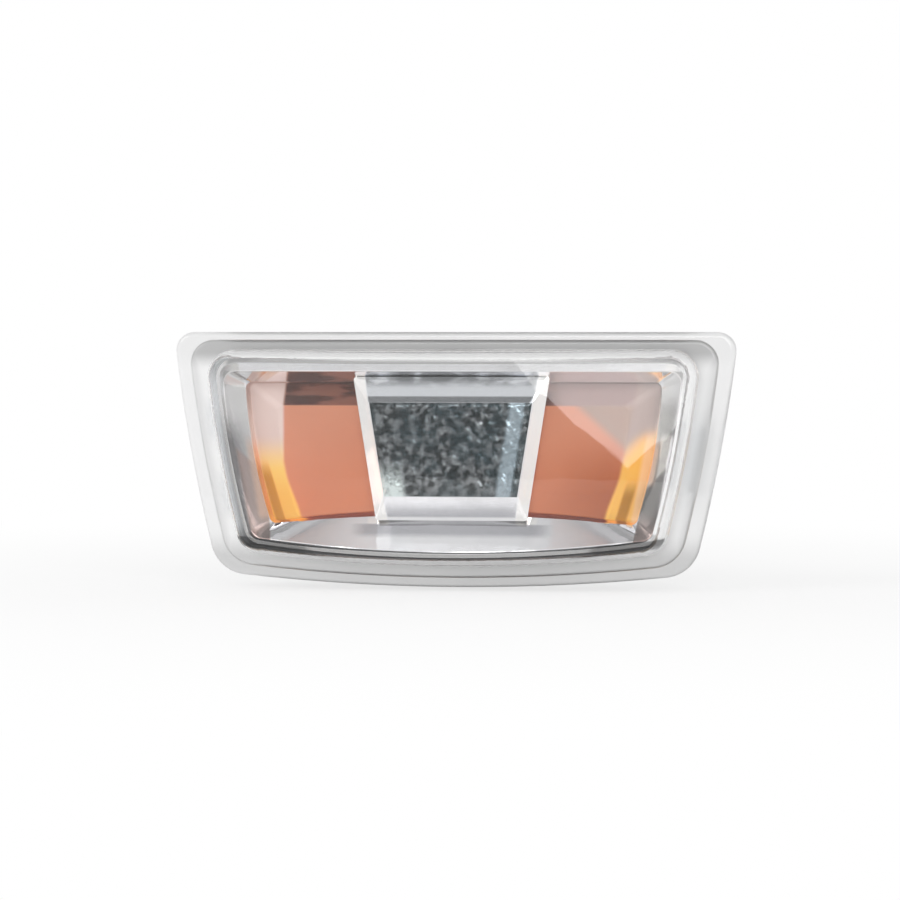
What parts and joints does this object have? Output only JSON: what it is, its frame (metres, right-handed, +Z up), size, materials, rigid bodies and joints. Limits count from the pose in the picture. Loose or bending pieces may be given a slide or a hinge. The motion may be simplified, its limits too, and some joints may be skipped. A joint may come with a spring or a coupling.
{
  "type": "side repeater lamp",
  "caption": "Clip-in side repeater lamp for a car wing: clear stepped lens over a metallised bezel and amber filter, rear housing with hooks and a bayonet bulb holder.",
  "frame": {"origin": "middle of the seat, the flat back face of the lens flange that lies on the body panel", "axes": "+X along the lamp to the right in front view, +Z up, +Y from the lens into the car"},
  "size_m": [0.096, 0.0499, 0.0434],
  "materials": {
    "clear_lens": "clear moulded acrylic",
    "bright_coat": "vacuum-metallised plastic",
    "amber_filter": "tinted translucent",
    "reflector_coat": "vacuum-metallised plastic",
    "housing_plastic": "moulded grey",
    "holder_plastic": "moulded black",
    "seal_rubber": "soft matt",
    "contact_brass": "stamped sheet",
    "bulb_glass": "clear blown glass",
    "lead_wire": "drawn wire",
    "filament_wire": "wound tungsten"
  },
  "bodies": {
    "lamp": {"lens": "clear_lens", "bezel": "bright_coat", "amber_lens": "amber_filter", "reflector": "reflector_coat", "housing": "housing_plastic"},
    "holder": {"bulb_holder": "holder_plastic", "holder_seal": "seal_rubber", "contact_left": "contact_brass", "contact_right": "contact_brass", "bulb_glass": "bulb_glass", "bulb_leads": "lead_wire", "bulb_filament": "filament_wire"}
  },
  "joints": [
    {"name": "holder_twist", "type": "hinge", "parent": "lamp", "child": "holder", "pos_m": [0, 0.015, 0.0005], "axis": [0, 1, 0], "range_deg": [0, 40]}
  ]
}
